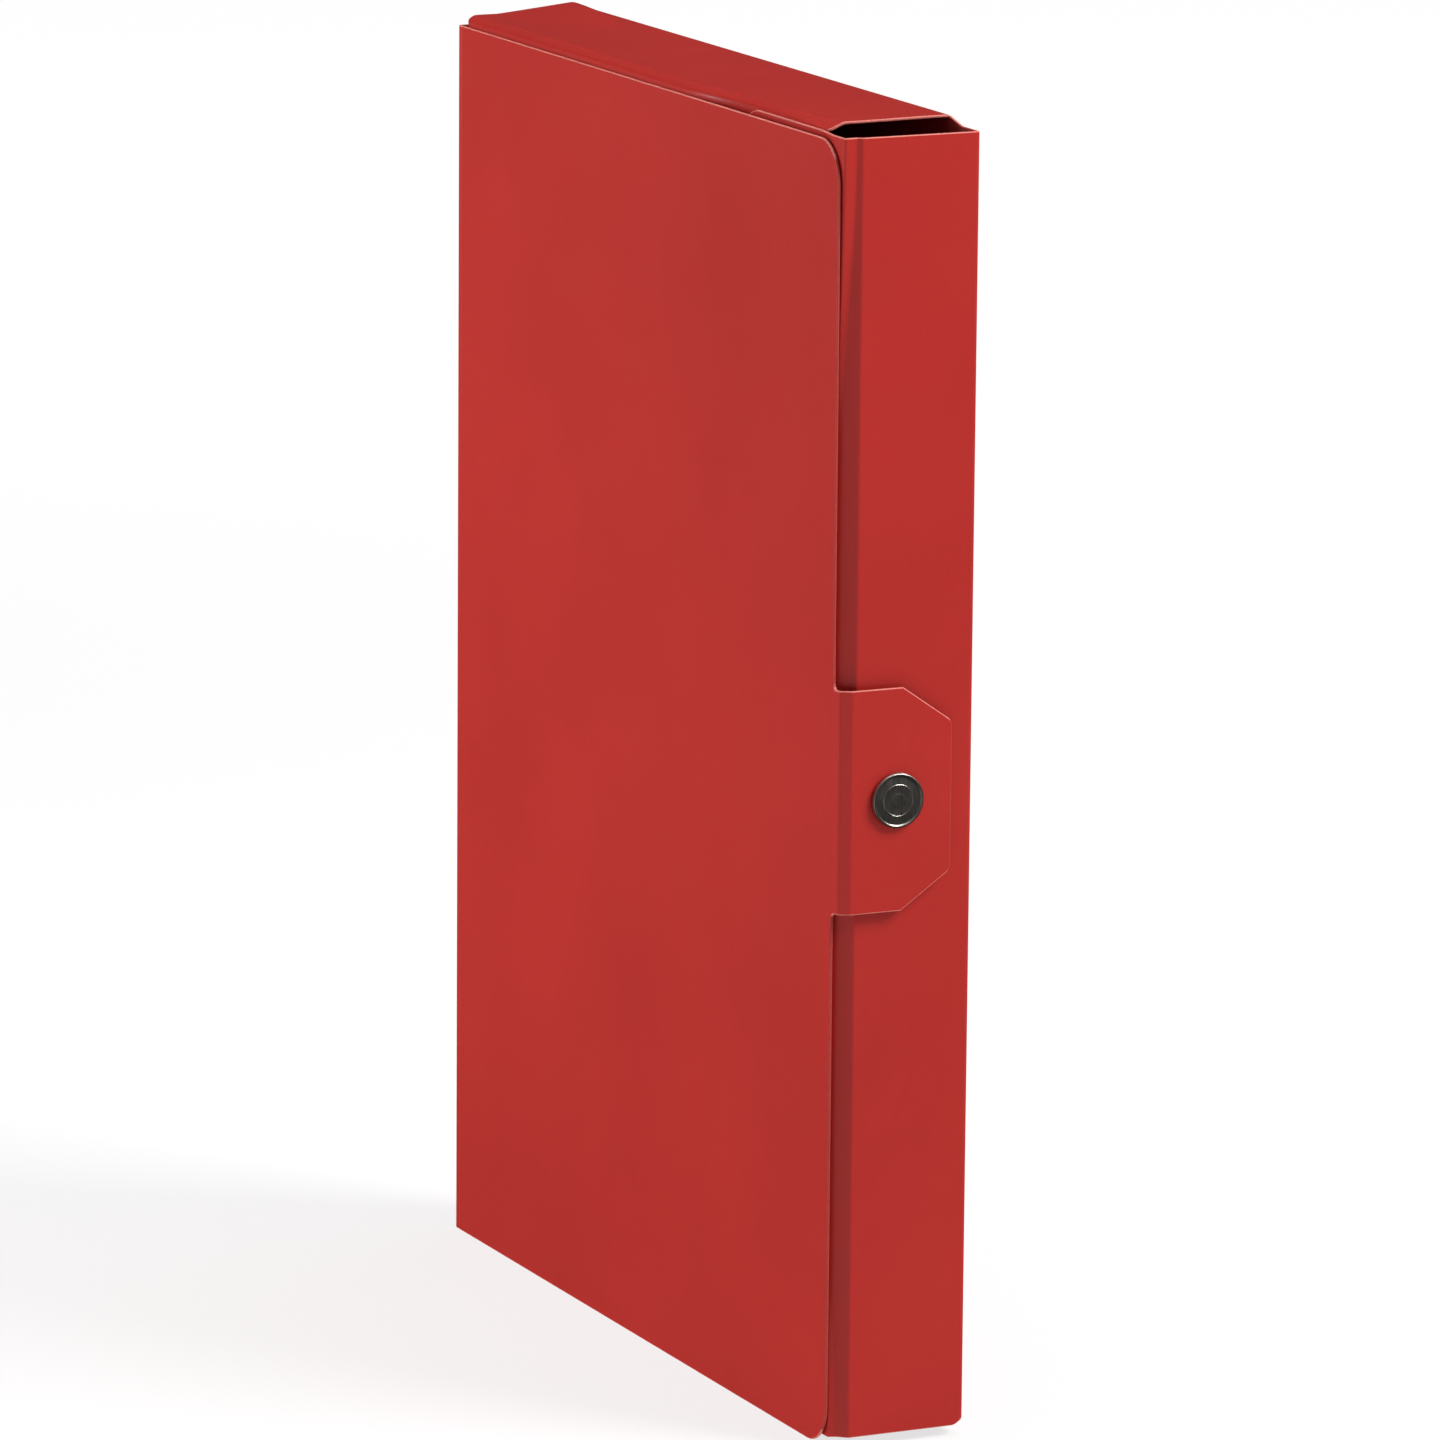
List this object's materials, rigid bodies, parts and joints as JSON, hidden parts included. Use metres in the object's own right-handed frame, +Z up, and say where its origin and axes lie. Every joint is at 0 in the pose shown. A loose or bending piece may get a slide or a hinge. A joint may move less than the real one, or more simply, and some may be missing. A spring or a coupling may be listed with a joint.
{
  "type": "document box",
  "caption": "Flat upright box of creased red varnished board for loose papers, with a hinged cover and a tongue closed by a metal press stud.",
  "frame": {"origin": "centre of the box's footprint, in the plane the box stands on", "axes": "+Z up, +X from the spine to the fore-edge with the tongue, +Y from the cover to the back"},
  "size_m": [0.255, 0.04, 0.353],
  "materials": {
    "varnished_board": "glossy varnish over dyed red board",
    "snap_metal": "dark nickel plate, satin face and bright rolled rim"
  },
  "bodies": {
    "back": {"back_panel": "varnished_board"},
    "spine": {"spine_panel": "varnished_board"},
    "hinge_band": {"cover_hinge_band": "varnished_board"},
    "cover": {"cover_panel": "varnished_board"},
    "tongue_band": {"tongue_crease_band": "varnished_board"},
    "tongue": {"closure_tongue": "varnished_board", "snap_cap": "snap_metal", "snap_socket": "snap_metal", "snap_ring_spring": "snap_metal"},
    "fore_wall": {"fore_edge_wall": "varnished_board", "snap_stud": "snap_metal", "snap_stud_eyelet": "snap_metal"},
    "fore_bevel": {"fore_edge_bevel": "varnished_board"},
    "fore_flap": {"fore_edge_flap": "varnished_board"},
    "top_wall": {"top_wall": "varnished_board"},
    "top_slope": {"top_crease_band": "varnished_board"},
    "top_flap": {"top_flap": "varnished_board"},
    "bottom_wall": {"bottom_wall": "varnished_board"},
    "bottom_slope": {"bottom_crease_band": "varnished_board"},
    "bottom_flap": {"bottom_flap": "varnished_board"}
  },
  "joints": [
    {"name": "spine_hinge", "type": "hinge", "parent": "back", "child": "spine", "pos_m": [-0.125, 0.02, 0.175], "axis": [0, 0, -1], "range_deg": [0, 90]},
    {"name": "hinge_band_fold", "type": "hinge", "parent": "spine", "child": "hinge_band", "pos_m": [-0.125, -0.02, 0.175], "axis": [0, 0, -1], "range_deg": [0, 90]},
    {"name": "cover_hinge", "type": "hinge", "parent": "hinge_band", "child": "cover", "pos_m": [-0.1225, -0.02, 0.175], "axis": [0, 0, -1], "range_deg": [0, 175]},
    {"name": "tongue_root_hinge", "type": "hinge", "parent": "cover", "child": "tongue_band", "pos_m": [0.1236, -0.02, 0.176], "axis": [0, 0, -1], "range_deg": [0, 36.87]},
    {"name": "tongue_fold", "type": "hinge", "parent": "tongue_band", "child": "tongue", "pos_m": [0.1284, -0.0164, 0.176], "axis": [0, 0, -1], "range_deg": [0, 53.13]},
    {"name": "fore_wall_hinge", "type": "hinge", "parent": "back", "child": "fore_wall", "pos_m": [0.1255, 0.02, 0.1769], "axis": [0, 0, 1], "range_deg": [0, 90]},
    {"name": "fore_bevel_fold", "type": "hinge", "parent": "fore_wall", "child": "fore_bevel", "pos_m": [0.1255, -0.0143, 0.1769], "axis": [0, 0, 1], "range_deg": [0, 45]},
    {"name": "fore_flap_fold", "type": "hinge", "parent": "fore_bevel", "child": "fore_flap", "pos_m": [0.1222, -0.0176, 0.1769], "axis": [0, 0, 1], "range_deg": [0, 45]},
    {"name": "top_wall_hinge", "type": "hinge", "parent": "back", "child": "top_wall", "pos_m": [-0.007, 0.02, 0.353], "axis": [-1, 0, 0], "range_deg": [0, 90]},
    {"name": "top_slope_fold", "type": "hinge", "parent": "top_wall", "child": "top_slope", "pos_m": [-0.007, -0.011, 0.353], "axis": [-1, 0, 0], "range_deg": [0, 22.5]},
    {"name": "top_flap_fold", "type": "hinge", "parent": "top_slope", "child": "top_flap", "pos_m": [-0.007, -0.0163, 0.3508], "axis": [-1, 0, 0], "range_deg": [0, 67.5]},
    {"name": "bottom_wall_hinge", "type": "hinge", "parent": "back", "child": "bottom_wall", "pos_m": [-0.007, 0.02, 0], "axis": [1, 0, 0], "range_deg": [0, 90]},
    {"name": "bottom_slope_fold", "type": "hinge", "parent": "bottom_wall", "child": "bottom_slope", "pos_m": [-0.007, -0.011, 0], "axis": [1, 0, 0], "range_deg": [0, 22.5]},
    {"name": "bottom_flap_fold", "type": "hinge", "parent": "bottom_slope", "child": "bottom_flap", "pos_m": [-0.007, -0.0163, 0.0022], "axis": [1, 0, 0], "range_deg": [0, 67.5]}
  ],
  "couplings": [
    {"joint": "hinge_band_fold", "follows": "spine_hinge", "ratio": 1},
    {"joint": "fore_wall_hinge", "follows": "spine_hinge", "ratio": 1},
    {"joint": "fore_bevel_fold", "follows": "spine_hinge", "ratio": 0.5},
    {"joint": "fore_flap_fold", "follows": "spine_hinge", "ratio": 0.5},
    {"joint": "tongue_fold", "follows": "tongue_root_hinge", "ratio": 1.441},
    {"joint": "top_wall_hinge", "follows": "spine_hinge", "ratio": 1},
    {"joint": "top_slope_fold", "follows": "spine_hinge", "ratio": 0.25},
    {"joint": "top_flap_fold", "follows": "spine_hinge", "ratio": 0.75},
    {"joint": "bottom_wall_hinge", "follows": "spine_hinge", "ratio": 1},
    {"joint": "bottom_slope_fold", "follows": "spine_hinge", "ratio": 0.25},
    {"joint": "bottom_flap_fold", "follows": "spine_hinge", "ratio": 0.75}
  ]
}
